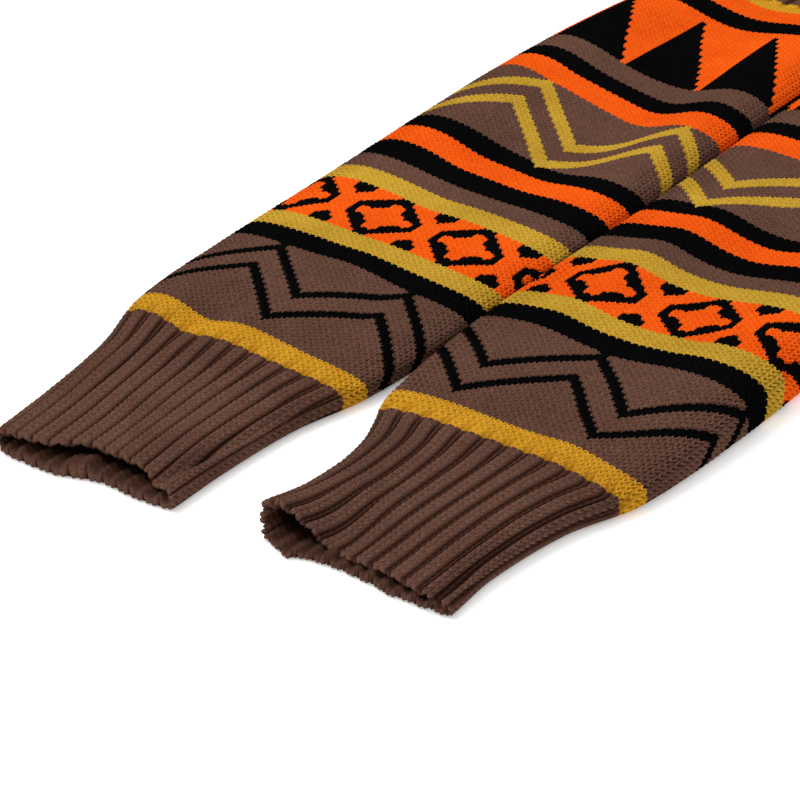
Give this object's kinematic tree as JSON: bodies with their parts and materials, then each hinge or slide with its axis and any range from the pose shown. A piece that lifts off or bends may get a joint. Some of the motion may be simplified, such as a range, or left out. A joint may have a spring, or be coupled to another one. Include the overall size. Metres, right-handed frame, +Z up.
{
  "type": "pair of leg warmers",
  "caption": "Knitted leg warmers lying flat side by side: patterned tubes with zigzag, diamond and triangle bands between ribbed cuffs, open at both ends.",
  "frame": {"origin": "on the surface that the pair lies on, under the middle of its box", "axes": "+Y along the legs from the ankle mouths to the knee mouths, +X to the right across the pair, +Z up from the surface"},
  "size_m": [0.2356, 0.5514, 0.0229],
  "materials": {
    "brown_rib_knit": "matte chunky acrylic rib knit with soft fuzz and dark grooves between the ribs",
    "patterned_knit": "matte jacquard knit in brown, black, orange, gold and amber yarn with stitch relief and soft fuzz"
  },
  "bodies": {
    "root": {"left_ankle_cuff": "brown_rib_knit", "left_leg_tube": "patterned_knit", "left_knee_cuff": "brown_rib_knit", "right_ankle_cuff": "brown_rib_knit", "right_leg_tube": "patterned_knit", "right_knee_cuff": "brown_rib_knit"}
  },
  "joints": []
}
